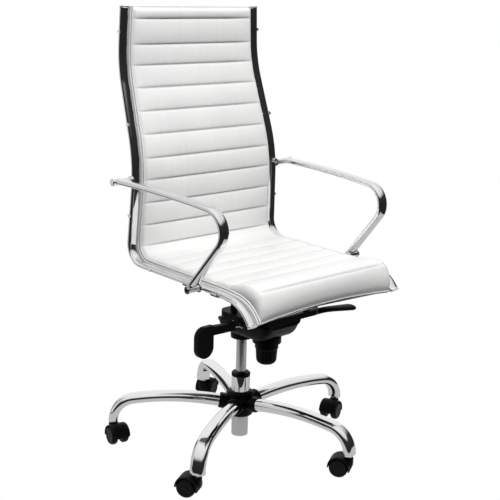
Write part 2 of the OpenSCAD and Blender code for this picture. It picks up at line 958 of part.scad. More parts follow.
hub();
leg(1);  // leg_1
leg(2);  // leg_2
leg(3);  // leg_3
leg(4);  // leg_4
leg(5);  // leg_5
caster_sockets();
outer_column();
column_bush();
retaining_clip();
piston_rod();
thrust_bearing();
rubber_buffer();
gas_cylinder();
release_button();
mechanism_housing();
pivot_pin();
tension_bolt();
tension_spring();
tension_knob();
height_lever_rod();
height_lever_handle();
tilt_lever_rod();
tilt_lever_handle();
seat_plate();
pivot_bushes();
stretcher(stretcher_y[0]);  // front_stretcher
stretcher(stretcher_y[1]);  // rear_stretcher
plate_bolts();
side_frame(1);  // side_frame_left
side_frame(-1);  // side_frame_right
frame_plugs();
frame_screws();
sling();
arm(1);  // arm_left
arm(-1);  // arm_right
arm_pegs();
arm_caps();
for (i = [1 : 5]) {
    caster_hood(i);
    caster_pins(i);
    caster_wheel(i, 1);
    caster_wheel(i, -1);
}
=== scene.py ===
"""Looks of the swivel office chair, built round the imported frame. Metres, +Z up, front at -Y."""

import json
import math

import bpy
from mathutils import Matrix, Vector, noise


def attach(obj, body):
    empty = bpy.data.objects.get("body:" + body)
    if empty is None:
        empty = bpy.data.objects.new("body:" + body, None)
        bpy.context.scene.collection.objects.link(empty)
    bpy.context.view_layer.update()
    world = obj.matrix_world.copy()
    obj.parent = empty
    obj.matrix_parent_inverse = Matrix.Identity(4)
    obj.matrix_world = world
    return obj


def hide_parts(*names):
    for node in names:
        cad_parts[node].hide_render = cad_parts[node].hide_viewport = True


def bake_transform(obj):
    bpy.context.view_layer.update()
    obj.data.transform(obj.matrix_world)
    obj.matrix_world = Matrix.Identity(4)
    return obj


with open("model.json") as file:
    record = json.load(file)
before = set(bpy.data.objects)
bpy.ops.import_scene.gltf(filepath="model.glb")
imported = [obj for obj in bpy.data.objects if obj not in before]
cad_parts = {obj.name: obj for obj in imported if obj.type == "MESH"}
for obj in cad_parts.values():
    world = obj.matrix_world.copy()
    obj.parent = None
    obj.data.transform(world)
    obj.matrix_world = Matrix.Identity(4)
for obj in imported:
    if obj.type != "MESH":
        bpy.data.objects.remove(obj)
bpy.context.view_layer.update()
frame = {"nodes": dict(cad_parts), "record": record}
MM = 0.001


# ---------------------------------------------------------------- materials


def shader(name, base, metallic, roughness):
    """A Principled material. Returns (material, nodes, links, shader node)."""
    mat = bpy.data.materials.new(name)
    mat.use_nodes = True
    nodes, links = mat.node_tree.nodes, mat.node_tree.links
    bsdf = nodes["Principled BSDF"]
    bsdf.inputs["Base Color"].default_value = (*base, 1)
    bsdf.inputs["Metallic"].default_value = metallic
    bsdf.inputs["Roughness"].default_value = roughness
    return mat, nodes, links, bsdf


def noise_node(nodes, links, scale, detail, stretch=None):
    """Noise in the object's own space, with an optional stretch along each axis."""
    coords = nodes.new("ShaderNodeTexCoord")
    tex = nodes.new("ShaderNodeTexNoise")
    tex.inputs["Scale"].default_value = scale
    tex.inputs["Detail"].default_value = detail
    source = coords.outputs["Object"]
    if stretch:
        mapping = nodes.new("ShaderNodeMapping")
        mapping.inputs["Scale"].default_value = stretch
        links.new(source, mapping.inputs["Vector"])
        source = mapping.outputs["Vector"]
    links.new(source, tex.inputs["Vector"])
    return tex


def ramp(nodes, links, source, low, high, a=0.3, b=0.7):
    """Colour ramp from low to high (grey numbers or colours) over a..b of source."""
    node = nodes.new("ShaderNodeValToRGB")
    node.color_ramp.elements[0].position = a
    node.color_ramp.elements[1].position = b
    for element, value in zip(node.color_ramp.elements, (low, high)):
        element.color = (*value, 1) if isinstance(value, tuple) else (value, value, value, 1)
    links.new(source, node.inputs["Fac"])
    return node


def bump(nodes, links, bsdf, height, strength, distance):
    """Lets a height between 0 and 1 bend the shader's normal; distance is in metres."""
    node = nodes.new("ShaderNodeBump")
    node.inputs["Strength"].default_value = strength
    node.inputs["Distance"].default_value = distance
    links.new(height, node.inputs["Height"])
    links.new(node.outputs["Normal"], bsdf.inputs["Normal"])


def chrome_material():
    """Polished chrome with faint smudges in its gloss and a slight ripple of the tube."""
    mat, nodes, links, bsdf = shader("chrome", (0.88, 0.88, 0.885), 1.0, 0.05)
    smudge = noise_node(nodes, links, 9.0, 5.0)
    rough = ramp(nodes, links, smudge.outputs["Fac"], 0.035, 0.085)
    links.new(rough.outputs["Color"], bsdf.inputs["Roughness"])
    tint = ramp(nodes, links, smudge.outputs["Fac"], (0.86, 0.86, 0.87), (0.9, 0.9, 0.9))
    links.new(tint.outputs["Color"], bsdf.inputs["Base Color"])
    ripple = noise_node(nodes, links, 26.0, 2.0)
    bump(nodes, links, bsdf, ripple.outputs["Fac"], 0.12, 0.0004)
    return mat


def brushed_material(name, base, rough, scale, stretch):
    """Bare or plated metal with a fine grain, drawn out along the axes that stretch makes small."""
    mat, nodes, links, bsdf = shader(name, base, 1.0, rough)
    grain = noise_node(nodes, links, scale, 6.0, stretch)
    level = ramp(nodes, links, grain.outputs["Fac"], rough - 0.07, rough + 0.09)
    links.new(level.outputs["Color"], bsdf.inputs["Roughness"])
    bump(nodes, links, bsdf, grain.outputs["Fac"], 0.15, 0.0002)
    return mat


def moulded_material(name, base, rough, grain_scale, depth, coat=0.0):
    """Black plastic or powder coat: fine pebble grain, slight cloudiness of colour and gloss."""
    mat, nodes, links, bsdf = shader(name, base, 0.0, rough)
    bsdf.inputs["Coat Weight"].default_value = coat
    bsdf.inputs["Specular IOR Level"].default_value = 0.11
    cloud = noise_node(nodes, links, 14.0, 4.0)
    light = tuple(c * 1.6 + 0.002 for c in base)
    tone = ramp(nodes, links, cloud.outputs["Fac"], base, light, 0.35, 0.75)
    links.new(tone.outputs["Color"], bsdf.inputs["Base Color"])
    level = ramp(nodes, links, cloud.outputs["Fac"], rough - 0.06, rough + 0.08)
    links.new(level.outputs["Color"], bsdf.inputs["Roughness"])
    pebble = noise_node(nodes, links, grain_scale, 2.0)
    bump(nodes, links, bsdf, pebble.outputs["Fac"], 0.35, depth)
    return mat


def leather_material(name, base, dark):
    """Leather with fine pores, soft creases, a cloudy colour and painted shade in its seams (attribute
    "crease").
    """
    mat, nodes, links, bsdf = shader(name, base, 0.0, 0.42)
    bsdf.inputs["Coat Weight"].default_value = 0.12
    bsdf.inputs["Coat Roughness"].default_value = 0.35
    coords = nodes.new("ShaderNodeTexCoord")
    cells = nodes.new("ShaderNodeTexVoronoi")
    cells.feature = "DISTANCE_TO_EDGE"
    cells.inputs["Scale"].default_value = 620.0
    links.new(coords.outputs["Object"], cells.inputs["Vector"])
    pore = ramp(nodes, links, cells.outputs["Distance"], 0.0, 1.0, 0.0, 0.22)
    crease = noise_node(nodes, links, 42.0, 6.0)
    relief = nodes.new("ShaderNodeMath")
    relief.operation = "MULTIPLY_ADD"
    relief.inputs[1].default_value = 1.6
    links.new(crease.outputs["Fac"], relief.inputs[0])
    links.new(pore.outputs["Color"], relief.inputs[2])
    bump(nodes, links, bsdf, relief.outputs["Value"], 0.22, 0.0005)
    cloud = noise_node(nodes, links, 7.0, 5.0)
    tone = ramp(nodes, links, cloud.outputs["Fac"], dark, base, 0.25, 0.6)
    # Painted shade in the seams: the "crease" attribute mixes the colour towards dark grey.
    seam_shade_map = nodes.new("ShaderNodeAttribute")
    seam_shade_map.attribute_name = "crease"
    shade = nodes.new("ShaderNodeMix")
    shade.data_type = "RGBA"
    shade.inputs[7].default_value = (0.4, 0.4, 0.41, 1)
    links.new(seam_shade_map.outputs["Fac"], shade.inputs[0])
    links.new(tone.outputs["Color"], shade.inputs[6])
    links.new(shade.outputs[2], bsdf.inputs["Base Color"])
    gloss = ramp(nodes, links, cloud.outputs["Fac"], 0.36, 0.5)
    links.new(gloss.outputs["Color"], bsdf.inputs["Roughness"])
    return mat


CHROME = chrome_material()
SATIN = brushed_material("satin_steel", (0.62, 0.62, 0.62), 0.3, 60.0, (1, 1, 0.05))
STEEL = brushed_material("zinc_steel", (0.5, 0.5, 0.52), 0.32, 90.0, (1, 1, 1))
BRASS = brushed_material("yellow_zinc", (0.62, 0.5, 0.27), 0.3, 80.0, (1, 1, 1))
BLACK_METAL = moulded_material("black_coat", (0.0025, 0.0025, 0.0027), 0.36, 700.0, 0.0002)
BLACK_PLASTIC = moulded_material("black_plastic", (0.0015, 0.0015, 0.0016), 0.4, 520.0, 0.0003)
WHEEL = moulded_material("wheel_plastic", (0.003, 0.003, 0.0032), 0.3, 300.0, 0.0002, 0.1)
RUBBER = moulded_material("black_rubber", (0.02, 0.02, 0.02), 0.7, 400.0, 0.0003)
LEATHER = leather_material("white_leather", (0.83, 0.83, 0.82), (0.77, 0.77, 0.765))
EDGE = leather_material("edge_leather", (0.8, 0.8, 0.8), (0.74, 0.74, 0.74))

SLOT_MATERIAL = {
    "chrome": CHROME,
    "satin_steel": SATIN,
    "steel": STEEL,
    "black_metal": BLACK_METAL,
    "black_plastic": BLACK_PLASTIC,
    "tread": WHEEL,
    "rubber": RUBBER,
    "brass_steel": BRASS,
    "leather": LEATHER,
}


# ---------------------------------------------------------------- mesh helpers


def add_mesh(name, verts, faces, material, body, replaces=()):
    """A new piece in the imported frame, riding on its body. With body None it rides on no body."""
    data = bpy.data.meshes.new(name)
    data.from_pydata([tuple(v) for v in verts], [], faces)
    data.validate()
    data.update()
    for face in data.polygons:
        face.use_smooth = True
    data.materials.append(material)
    obj = bpy.data.objects.new(name, data)
    bpy.context.scene.collection.objects.link(obj)
    if body:
        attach(obj, body)
    if replaces:
        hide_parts(*replaces)
    return obj


def soften(obj, width, segments=3, angle=35):
    """Rounded edges wherever two faces meet sharply."""
    bevel = obj.modifiers.new("edges", "BEVEL")
    bevel.width = width
    bevel.segments = segments
    bevel.limit_method = "ANGLE"
    bevel.angle_limit = math.radians(angle)


def skin_faces(rings, n, close=True, first=0):
    """Quads between neighbouring closed rings of n points, with both ends capped."""
    faces = []
    for i in range(rings - 1):
        for k in range(n):
            m = (k + 1) % n
            a, b = first + i * n, first + (i + 1) * n
            faces.append((a + m, b + m, b + k, a + k))
    if close:
        faces.append(tuple(first + k for k in range(n)))
        faces.append(tuple(first + (rings - 1) * n + k for k in reversed(range(n))))
    return faces


def revolve(name, profile, place, material, body, replaces=(), n=96, shape=None, hollow=False):
    """Turns (radius, height) points round place's Z axis. shape(angle, r, h) may vary the radius.
    A hollow piece's profile is a loop round its wall."""
    verts, rings = [], len(profile)
    for r, h in profile:
        for k in range(n):
            a = -2 * math.pi * k / n
            rr = shape(a, r, h) if shape else r
            verts.append(place @ Vector((rr * math.cos(a), rr * math.sin(a), h)))
    faces = skin_faces(rings, n, not hollow)
    if hollow:
        last = (rings - 1) * n
        faces += [(last + (k + 1) % n, (k + 1) % n, k, last + k) for k in range(n)]
    return add_mesh(name, verts, faces, material, body, replaces)


def rounded(points, radius, steps=5):
    """Cuts each corner of an open (r, h) profile with an arc; the two ends stay."""
    out = [points[0]]
    for i in range(1, len(points) - 1):
        p0, p, p1 = (Vector(points[j]) for j in (i - 1, i, i + 1))
        a, b = p0 - p, p1 - p
        cut = min(radius, a.length * 0.45, b.length * 0.45)
        start, end = p + a.normalized() * cut, p + b.normalized() * cut
        for k in range(steps + 1):
            t = k / steps
            out.append(tuple((1 - t) ** 2 * start + 2 * t * (1 - t) * p + t**2 * end))
    out.append(points[-1])
    return out


def oval(w, t, n=20):
    """Flat oval section of width w and thickness t, as (thin, wide) offsets, clockwise."""
    points = []
    for half in (0, 1):
        for k in range(n + 1):
            a = math.pi * k / n + math.pi * half
            points.append((t / 2 * math.cos(a), (2 * half - 1) * (w - t) / 2 - t / 2 * math.sin(a)))
    return points


def soft_oval(w, t, power=2.5, n=48):
    """Rounded oval section between a flat oval and an ellipse, ordered like oval()."""
    points = []
    for k in range(n):
        c, d = math.cos(2 * math.pi * k / n), math.sin(2 * math.pi * k / n)
        points.append((math.copysign(t / 2 * abs(c) ** (2 / power), c),
                       -math.copysign(w / 2 * abs(d) ** (2 / power), d)))
    return points


def turtle(start, heading, steps, spacing=0.005):
    """Points along straights [length, 0] and bends [radius, degrees]: (a, b, heading, distance)."""
    a, b, h, run = start[0], start[1], math.radians(heading), 0.0
    out = [(a, b, h, run)]
    for size, turn in steps:
        turn = math.radians(turn)
        length = size if turn == 0 else size * abs(turn)
        n = max(2, math.ceil(max(length / spacing, abs(turn) / math.radians(2.5))))
        side = math.copysign(1, turn)
        for k in range(1, n + 1):
            f = k / n
            if turn == 0:
                p = (a + size * f * math.cos(h), b + size * f * math.sin(h), h)
            else:
                g = h + turn * f
                p = (a + side * size * (math.sin(g) - math.sin(h)),
                     b - side * size * (math.cos(g) - math.cos(h)), g)
            out.append((*p, run + length * f))
        a, b, h = out[-1][:3]
        run += length
    return out


def sweep(name, path, section, to_world, material, body, replaces=()):
    """Sweeps section(distance, total) -> [(left, wide)] along a turtle path, mapped by
    to_world(a, b, wide)."""
    verts, n = [], 0
    total = path[-1][3]
    for a, b, h, run in path:
        points = section(run, total)
        n = len(points)
        for left, wide in points:
            verts.append(to_world(a - left * math.sin(h), b + left * math.cos(h), wide))
    return add_mesh(name, verts, skin_faces(len(path), n), material, body, replaces)


# ---------------------------------------------------------------- camera, floor and light

# The photograph's view: bearing, height and roll of the camera, and the point it looks at.
AZIMUTH, ELEVATION, ROLL = math.radians(-42.7), math.radians(13.9), math.radians(1.4)
TARGET = Vector((0, 0, 0.543))
DISTANCE = 2.8483
back = Vector((math.sin(AZIMUTH) * math.cos(ELEVATION),
               -math.cos(AZIMUTH) * math.cos(ELEVATION), math.sin(ELEVATION)))
right = Vector((math.cos(AZIMUTH), math.sin(AZIMUTH), 0))
up = back.cross(right)
cam_x = math.cos(ROLL) * right + math.sin(ROLL) * up
cam_y = -math.sin(ROLL) * right + math.cos(ROLL) * up
camera = bpy.data.objects.new("camera", bpy.data.cameras.new("camera"))
camera.matrix_world = (Matrix.Translation(TARGET + DISTANCE * back)
                       @ Matrix((cam_x, cam_y, back)).transposed().to_4x4())
camera.data.lens = 77.9
camera.data.sensor_width = 36
camera.data.shift_x = 0.0122
bpy.context.scene.collection.objects.link(camera)
bpy.context.scene.camera = camera
bpy.context.scene.view_settings.view_transform = "Standard"

VIEW_TURN = Matrix.Rotation(AZIMUTH, 4, "Z")


def grey(value):
    return (value, value, value, 1)


def glowing(name, seen, mirrored, bounced):
    """An even white glow: one strength for the camera, one in reflections, one as fill light."""
    mat = bpy.data.materials.new(name)
    mat.use_nodes = True
    nodes, links = mat.node_tree.nodes, mat.node_tree.links
    nodes.remove(nodes["Principled BSDF"])
    path = nodes.new("ShaderNodeLightPath")
    glows = []
    for strength in (mirrored, bounced, seen):
        glow = nodes.new("ShaderNodeEmission")
        glow.inputs["Color"].default_value = grey(strength)
        glows.append(glow.outputs[0])
    for flag, other in (("Is Diffuse Ray", 1), ("Is Camera Ray", 2)):
        mix = nodes.new("ShaderNodeMixShader")
        links.new(path.outputs[flag], mix.inputs["Fac"])
        links.new(glows[0], mix.inputs[1])
        links.new(glows[other], mix.inputs[2])
        glows[0] = mix.outputs[0]
    links.new(glows[0], nodes["Material Output"].inputs["Surface"])
    return mat


def stage_sheet(name, corners, place, material, seen_by_camera):
    """A flat sheet of the set, which casts no shadow."""
    data = bpy.data.meshes.new(name)
    data.from_pydata(corners, [], [(0, 1, 2, 3)])
    data.materials.append(material)
    sheet = bpy.data.objects.new(name, data)
    sheet.matrix_world = place
    sheet.visible_camera = seen_by_camera
    sheet.visible_shadow = False
    bpy.context.scene.collection.objects.link(sheet)


# White paper under and behind the chair. Reflections see a dark horizon beyond its edges.
PAPER_SIDE, PAPER_FRONT, PAPER_BACK = 1.2, -0.5, 6.0
stage_sheet("floor", [(-PAPER_SIDE, PAPER_FRONT, 0), (PAPER_SIDE, PAPER_FRONT, 0),
                      (PAPER_SIDE, PAPER_BACK, 0), (-PAPER_SIDE, PAPER_BACK, 0)],
            VIEW_TURN, glowing("paper", 1.0, 0.55, 0.12), True)


CARD_FILL = 0.3


def white_card(name, bearing, distance, width, low, high, strength):
    """An upright glowing card that faces the chair and that the camera doesn't see."""
    place = VIEW_TURN @ Matrix.Rotation(math.radians(bearing), 4, "Z")
    stage_sheet(name, [(-width / 2, distance, low), (width / 2, distance, low),
                       (width / 2, distance, high), (-width / 2, distance, high)],
                place, glowing(name, 1.0, strength, CARD_FILL), False)


white_card("card_left", 88, 2.3, 2.6, 0.0, 1.9, 0.62)
white_card("card_behind", 0, 3.0, 4.6, 0.0, 3.0, 0.9)


SKY_BANDS = [(0.0, 0.02), (0.42, 0.03), (0.62, 0.75), (1.0, 0.95)]
SKY_FILL = 0.4


def studio_world():
    """White for the camera, and a bright ceiling over a dark horizon for all other rays, at
    SKY_FILL of its strength where it lights rough surfaces."""
    world = bpy.data.worlds.new("studio")
    bpy.context.scene.world = world
    world.use_nodes = True
    nodes, links = world.node_tree.nodes, world.node_tree.links
    plain = nodes["Background"]
    plain.inputs["Color"].default_value = grey(1.0)
    coords = nodes.new("ShaderNodeTexCoord")
    split = nodes.new("ShaderNodeSeparateXYZ")
    links.new(coords.outputs["Generated"], split.inputs["Vector"])
    bands = nodes.new("ShaderNodeValToRGB")
    elements = bands.color_ramp.elements
    elements[0].position, elements[0].color = SKY_BANDS[0][0], grey(SKY_BANDS[0][1])
    elements[1].position, elements[1].color = SKY_BANDS[-1][0], grey(SKY_BANDS[-1][1])
    for position, value in SKY_BANDS[1:-1]:
        elements.new(position).color = grey(value)
    links.new(split.outputs["Z"], bands.inputs["Fac"])
    soft = nodes.new("ShaderNodeBackground")
    links.new(bands.outputs["Color"], soft.inputs["Color"])
    path = nodes.new("ShaderNodeLightPath")
    level = nodes.new("ShaderNodeMapRange")
    level.inputs["To Min"].default_value = 1.0
    level.inputs["To Max"].default_value = SKY_FILL
    links.new(path.outputs["Is Diffuse Ray"], level.inputs["Value"])
    links.new(level.outputs["Result"], soft.inputs["Strength"])
    mix = nodes.new("ShaderNodeMixShader")
    links.new(path.outputs["Is Camera Ray"], mix.inputs["Fac"])
    links.new(soft.outputs["Background"], mix.inputs[1])
    links.new(plain.outputs["Background"], mix.inputs[2])
    links.new(mix.outputs["Shader"], nodes["World Output"].inputs["Surface"])


studio_world()


def area_light(name, place, aim, size, power):
    """A soft rectangular light in watts, which doesn't show in gloss."""
    data = bpy.data.lights.new(name, "AREA")
    data.shape = "RECTANGLE"
    data.size, data.size_y = size
    data.energy = power
    light = bpy.data.objects.new(name, data)
    light.location = place
    light.rotation_euler = (Vector(aim) - Vector(place)).to_track_quat("-Z", "Y").to_euler()
    light.visible_glossy = False
    bpy.context.scene.collection.objects.link(light)


area_light("key", (-0.4, -1.9, 3.3), (0, 0, 0.8), (1.6, 1.2), 108)
area_light("top", (-1.3, -0.4, 2.9), (0, 0, 0.6), (1.4, 1.4), 4)
area_light("rear", (0.9, 2.8, 2.2), (0, 0, 0.7), (2.0, 1.2), 45)


# ---------------------------------------------------------------- CAD pieces that stay

# How far the edges of each CAD piece are rounded, in mm.
EDGE_WIDTH = {
    "seat_plate": 1.2, "height_lever_handle": 3.2, "caster_sockets": 0.5, "pivot_pin": 0.8,
    "tension_bolt": 0.8, "plate_bolts": 0.5, "arm_caps": 0.9, "arm_pegs": 0.8,
    "frame_screws": 0.5, "frame_plugs": 0.6, "column_bush": 0.8,
}
NODE_SLOT = {part["node"]: part["material_slot"] for part in frame["record"]["subparts"]}
for node_name, node_obj in frame["nodes"].items():
    paint = SLOT_MATERIAL[NODE_SLOT[node_name]]
    for material_slot in node_obj.material_slots:
        material_slot.material = paint
    if node_name in EDGE_WIDTH:
        soften(node_obj, EDGE_WIDTH[node_name] * MM)


# ---------------------------------------------------------------- side frames

# The frames stand HALF from the middle, lean out by LEAN, and have their seat rail at RAIL.
HALF, RAIL = 0.249, 0.516
LEAN = math.radians(2.58)
FRAME_PATH = turtle((-0.308, -0.056), 50, [
    (0.018, 0), (0.095, -42), (0.6, -6.8), (0.274, 0), (0.052, 91.7), (0.127, 0),
    (0.4, -20.4), (0.135, 0), (0.33, 18), (0.09, 0)])


def frame_world(side):
    """Maps (y, height over the rail, offset across the frame) to one side's leaning plane."""
    def place(a, b, wide):
        x = HALF + wide * math.cos(LEAN) - b * math.sin(LEAN)
        return Vector((side * x, a, RAIL + b * math.cos(LEAN) + wide * math.sin(LEAN)))
    return place


FRAME_OVAL = soft_oval(0.028, 0.014, 2.15)
for side, word in ((1, "left"), (-1, "right")):
    sweep(f"frame_tube_{word}", FRAME_PATH, lambda run, total: FRAME_OVAL,
          frame_world(side), CHROME, "seat", (f"side_frame_{word}",))


# ---------------------------------------------------------------- arms

ARM_HALF, ARM_TOE = 0.288, math.radians(2.86)
ARM_PATH = turtle((-0.1495, 0.735), 0, [(3.2, -6), (0.051, -123.5), (0.146, 0)])
ARM_OVAL = soft_oval(0.03, 0.015)


def arm_world(side):
    """Maps (distance forward, height, offset outwards) to one side's toed-in plane."""
    def place(a, b, wide):
        x, y = wide, -a
        return Vector((side * (ARM_HALF + x * math.cos(ARM_TOE) + y * math.sin(ARM_TOE)),
                       y * math.cos(ARM_TOE) - x * math.sin(ARM_TOE), b))
    return place


for side, word in ((1, "left"), (-1, "right")):
    sweep(f"arm_tube_{word}", ARM_PATH, lambda run, total: ARM_OVAL,
          arm_world(side), CHROME, "seat", (f"arm_{word}",))


# ---------------------------------------------------------------- base legs

# Each leg rises out of the hub, arches over a long bend and drops through a tight one to its caster
# at REACH. Angles are in degrees.
BASE_TURN, REACH = -5.5, 0.345
LEG_RISE, LEG_FALL, LEG_LONG = 9.0, 8.75, 0.75
LEG_START, LEG_STRAIGHT, LEG_Z = 0.032, 0.028, 0.1175
LONG_END = (LEG_START + LEG_STRAIGHT * math.cos(math.radians(LEG_RISE))
            + LEG_LONG * (math.sin(math.radians(LEG_RISE)) + math.sin(math.radians(LEG_FALL))))
TIP_R = (REACH - LONG_END) / (1 - math.sin(math.radians(LEG_FALL)))
LEG_PATH = turtle((LEG_START, LEG_Z), LEG_RISE, [
    (LEG_STRAIGHT, 0), (LEG_LONG, -LEG_RISE - LEG_FALL), (TIP_R, LEG_FALL - 90), (0.0005, 0)])


def leg_world(angle):
    """Maps (distance from the axis, height, offset across) to a leg's upright plane."""
    turn = Matrix.Rotation(math.radians(angle), 4, "Z")
    return lambda a, b, wide: turn @ Vector((a, -wide, b))


def leg_section(run, total):
    """Nearly round at the hub, flattening towards the bend."""
    t = min(1.0, run / (total * 0.62))
    blend = t * t * (3 - 2 * t)
    return oval(0.036 + 0.004 * blend, 0.033 - 0.0075 * blend)


for number in range(1, 6):
    sweep(f"leg_tube_{number}", LEG_PATH, leg_section, leg_world(BASE_TURN + 72 * (number - 1)),
          CHROME, "base", (f"leg_{number}",))


# ---------------------------------------------------------------- sling

# Where each seam crosses the frames, as (y, z), from the front hem to the top one.
SEAM_POINTS = [(-0.273, 0.494), (-0.200, 0.511), (-0.143, 0.514), (-0.083, 0.517),
               (-0.025, 0.518), (0.035, 0.519), (0.090, 0.519), (0.151, 0.555), (0.159, 0.612),
               (0.156, 0.669), (0.154, 0.729), (0.158, 0.785), (0.169, 0.843), (0.184, 0.900),
               (0.201, 0.955), (0.218, 1.011), (0.225, 1.068), (0.225, 1.129)]
RUN_END = FRAME_PATH[-1][3]


def nearest_run(y, z):
    """Distance along the frame's middle line of its point nearest to (y, z)."""
    return min(FRAME_PATH, key=lambda p: (p[0] - y) ** 2 + (p[1] + RAIL - z) ** 2)[3]


SEAMS = [nearest_run(y, z) for y, z in SEAM_POINTS]
EDGES = [0.0] + SEAMS + [RUN_END]
FRONT_SEAM = SEAMS[0]
SEAT_END = SEAMS[6]


def at_run(run):
    """Point and heading on the frame's middle line at a distance along it."""
    run = min(max(run, 0.0), RUN_END)
    low, high = 0, len(FRAME_PATH) - 1
    while high - low > 1:
        mid = (low + high) // 2
        if FRAME_PATH[mid][3] <= run:
            low = mid
        else:
            high = mid
    p, q = FRAME_PATH[low], FRAME_PATH[high]
    f = (run - p[3]) / max(1e-9, q[3] - p[3])
    return tuple(p[j] + (q[j] - p[j]) * f for j in range(3))


def smooth(t):
    """0 below 0, 1 above 1, and an S-curve between."""
    t = min(1.0, max(0.0, t))
    return t * t * (3 - 2 * t)


def rib(run):
    """(0 at a seam to 1 at a rib's crown, distance to the nearest seam or hem)."""
    i = next((i for i in range(len(EDGES) - 2) if run <= EDGES[i + 1]), len(EDGES) - 2)
    a, b = EDGES[i], EDGES[i + 1]
    t = min(1, max(0, (run - a) / (b - a)))
    return math.sin(math.pi * t) ** 0.55, min(run - a, b - run)


PAD_LIFT, RIB_RISE = 0.0125, 0.0055
SEAM_DIP, SEAM_WIDTH = 0.0022, 0.0022
HEM_LIFT, ROLL_RISE = 0.003, 0.044
ROLL_DIP, ROLL_SEAM_WIDTH = 0.003, 0.0028


def roll_front(u, run, gap):
    """The front roll: it swells from the hem to the first seam, with a fan of creases at its ends."""
    t = run / FRONT_SEAM
    height = HEM_LIFT + ROLL_RISE * t ** 0.78
    height += 0.002 * math.sin(math.pi * t) * (1 - u * u)
    if run > FRONT_SEAM / 2:
        height -= ROLL_DIP * math.exp(-((gap / ROLL_SEAM_WIDTH) ** 2))
    inwards = (1 - abs(u)) * 0.23
    fan = math.sin(34 * math.atan2(run, inwards + 0.001))
    return height + 0.0011 * fan * math.exp(-(inwards + run) / 0.045) * smooth(inwards / 0.01)


def pad_front(u, run):
    """Height of the sling's upper face over the frame's middle line, for u from -1 to 1 across."""
    crown, gap = rib(run)
    if run < FRONT_SEAM:
        return roll_front(u, run, gap)
    across = 1 - abs(u) ** 6
    height = PAD_LIFT + RIB_RISE * crown * (0.35 + 0.65 * across)
    height -= SEAM_DIP * math.exp(-((gap / SEAM_WIDTH) ** 2)) * across
    pucker = noise.noise(Vector((u * 26, run * 9, 1.3)))
    height += 0.0011 * pucker * math.exp(-gap / 0.014) * across
    height += 0.0012 * noise.noise(Vector((u * 2.6, run * 5.0, 7.7)))
    return height + 0.0305 * math.exp(-(((run - FRONT_SEAM) / 0.055) ** 1.4))


def pad_back(u, run):
    """Its lower face: flatter on the seat, where the cross bars lie close under it."""
    crown = rib(run)[0] * (1 - abs(u) ** 6)
    loose = smooth((run - SEAT_END) / 0.08) + smooth((0.12 - run) / 0.06)
    return -0.0055 - 0.0008 * crown - (0.003 + 0.002 * crown) * min(1, loose)


# BAND is the width of each edge band, SIDE_GAP its distance from the frame's middle plane.
BAND = 0.005
SIDE_GAP = 0.0152
ACROSS = 88


def sling_half(b):
    """Half the sling's width at height b over the rail."""
    return HALF - SIDE_GAP - b * math.sin(LEAN)


def build_pad():
    """The leather between the two edge bands, as one closed skin."""
    runs = []
    for a, b in zip(EDGES, EDGES[1:]):
        n = max(8, round((b - a) / 0.0042))
        for k in range(n):
            f = k / n
            f = f - 0.09 * math.sin(2 * math.pi * f)
            runs.append(a + (b - a) * f)
    runs.append(RUN_END)
    verts, seam_shade_values = [], []
    for run in runs:
        ring = []
        for k in range(ACROSS + 1):
            u = -1 + 2 * k / ACROSS
            side = smooth((1 - abs(u)) / 0.022)
            lift = HEM_LIFT + (pad_front(u, run) - HEM_LIFT) * (0.45 + 0.55 * side)
            end = smooth(min(run, RUN_END - run) / 0.007)
            ring.append((u, lift * (0.3 + 0.7 * end)))
        for k in range(ACROSS, -1, -2):
            u = -1 + 2 * k / ACROSS
            ring.append((u, pad_back(u, run)))
        hem = smooth(1 - run / 0.05)
        for u, lift in ring:
            y, b, h = at_run(run + 0.012 * hem * (1 - u * u))
            bb = b + lift * math.cos(h)
            verts.append(Vector((u * (sling_half(bb) - BAND), y - lift * math.sin(h), RAIL + bb)))
        # Painted shade along each seam, fading at the sides and kept in the "crease" attribute. There
        # is none on the lower half of the front roll.
        shadow = math.exp(-((rib(run)[1] / SEAM_WIDTH) ** 2)) * (run > FRONT_SEAM / 2)
        seam_shade_values += [0.75 * shadow * (1 - abs(u) ** 8) for u, _ in ring]
    pad = add_mesh("sling_leather", verts, skin_faces(len(runs), len(ring)), LEATHER,
                   "seat", ("sling",))
    layer = pad.data.attributes.new("crease", "FLOAT", "POINT")
    layer.data.foreach_set("value", seam_shade_values)


build_pad()

BAND_RUNS = [RUN_END * k / 420 for k in range(421)]


def edge_strip(name, x_from, points, material):
    """A strip along one side of the sling; points are (inward, lift) offsets round its section."""
    for side, word in ((1, "left"), (-1, "right")):
        verts = []
        for run in BAND_RUNS:
            y, b, h = at_run(run)
            for inward, lift in points if side > 0 else reversed(points):
                bb = b + lift * math.cos(h)
                x = sling_half(bb) - x_from - inward
                verts.append(Vector((side * x, y - lift * math.sin(h), RAIL + bb)))
        add_mesh(f"{name}_{word}", verts, skin_faces(len(BAND_RUNS), len(points)), material,
                 "seat")


BAND_SECTION = [(0.0, -0.0055), (0.0, 0.003), (0.001, 0.0048), (0.0025, 0.0056), (0.004, 0.005),
                (BAND, 0.004), (BAND, -0.0055)]
edge_strip("sling_edge", 0.0, BAND_SECTION, EDGE)
PIPING_R, PIPING_LIFT = 0.0019, 0.0082
PIPING_ANGLES = [-2 * math.pi * k / 12 for k in range(12)]
PIPING_SECTION = [(PIPING_R * math.cos(a), PIPING_LIFT + PIPING_R * math.sin(a)) for a in PIPING_ANGLES]
edge_strip("sling_piping", BAND - 0.0005, PIPING_SECTION, LEATHER)


# ---------------------------------------------------------------- column


def upright(x=0.0, y=0.0, z=0.0):
    return Matrix.Translation((x, y, z))


def mm(points):
    return [tuple(v * MM for v in p) for p in points]


